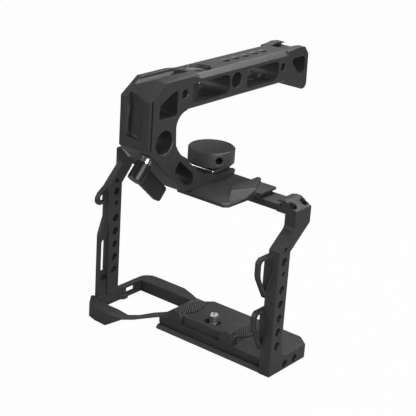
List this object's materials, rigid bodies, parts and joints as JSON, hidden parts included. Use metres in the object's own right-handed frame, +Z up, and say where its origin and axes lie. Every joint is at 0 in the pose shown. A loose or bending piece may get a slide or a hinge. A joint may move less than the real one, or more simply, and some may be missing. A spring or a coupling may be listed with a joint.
{
  "type": "camera cage",
  "caption": "Camera cage with a sliding top handle: base plate with camera screw, two drilled side columns, battery ring, disc knob and rod lock lever.",
  "frame": {"origin": "camera screw's axis at the top face of the base plate, where the camera's underside rests", "axes": "+X towards the right column, seen from the front, where the cage's cable loops are; +Y to the back, away from the lens; +Z up along the camera screw"},
  "size_m": [0.151, 0.1723, 0.1931],
  "materials": {
    "frame_black": "matte black anodised",
    "handle_black": "satin black anodised",
    "knob_black": "satin black anodised",
    "screw_black": "black oxide",
    "rubber_black": "ribbed matte rubber",
    "bright_steel": "polished steel",
    "lever_black": "smooth satin black paint"
  },
  "bodies": {
    "cage": {"base_plate": "frame_black", "front_stop": "frame_black", "ring_side_wall": "frame_black", "ring_rear_bar": "frame_black", "ring_front_bar": "frame_black", "ring_bridge": "frame_black", "left_column": "frame_black", "left_grip_web": "frame_black", "left_arm": "frame_black", "left_top_block": "frame_black", "strap_lug": "frame_black", "right_column": "frame_black", "right_arm": "frame_black", "right_top_block": "frame_black", "upper_cable_loop": "frame_black", "lower_cable_loop": "frame_black", "top_bar": "frame_black", "handle_seat": "frame_black", "seat_rail": "frame_black", "shoe_lip": "frame_black", "web_screw": "screw_black", "left_pad": "rubber_black", "right_pad": "rubber_black"},
    "screw_washer": {"camera_screw_washer": "bright_steel"},
    "screw": {"camera_screw": "bright_steel"},
    "handle": {"handle_foot": "handle_black", "handle_neck": "handle_black", "handle_grip": "handle_black", "handle_tail": "handle_black"},
    "clamp": {"clamp_plate": "knob_black"},
    "knob": {"clamp_screw": "bright_steel", "clamp_knob": "knob_black"},
    "lock_collar": {"lock_washer": "bright_steel"},
    "lock": {"lock_stud": "bright_steel", "lock_lever": "lever_black"}
  },
  "joints": [
    {"name": "camera_screw_travel", "type": "slide", "parent": "cage", "child": "screw_washer", "axis": [0, 0, 1], "range_m": [-0.00254, 0]},
    {"name": "camera_screw_turn", "type": "hinge", "parent": "screw_washer", "child": "screw", "pos_m": [0, 0, 0], "axis": [0, 0, 1], "range_deg": [-721, 0]},
    {"name": "handle_slide", "type": "slide", "parent": "cage", "child": "handle", "axis": [0, 1, 0], "range_m": [0, 0.0075]},
    {"name": "clamp_travel", "type": "slide", "parent": "cage", "child": "clamp", "axis": [0, 0, 1], "range_m": [0, 0.00254]},
    {"name": "knob_turn", "type": "hinge", "parent": "clamp", "child": "knob", "pos_m": [-0.0095, -0.003, 0.1075], "axis": [0, 0, 1], "range_deg": [0, 721]},
    {"name": "lock_travel", "type": "slide", "parent": "handle", "child": "lock_collar", "axis": [0, -0.682, -0.7314], "range_m": [0, 0.0008]},
    {"name": "lock_turn", "type": "hinge", "parent": "lock_collar", "child": "lock", "pos_m": [-0.0035, -0.07402, 0.13586], "axis": [0, -0.682, -0.7314], "range_deg": [0, 361]}
  ],
  "couplings": [
    {"joint": "camera_screw_turn", "follows": "camera_screw_travel", "rad_per_m": 4947.4},
    {"joint": "knob_turn", "follows": "clamp_travel", "rad_per_m": 4947.4},
    {"joint": "lock_turn", "follows": "lock_travel", "rad_per_m": 7854}
  ]
}
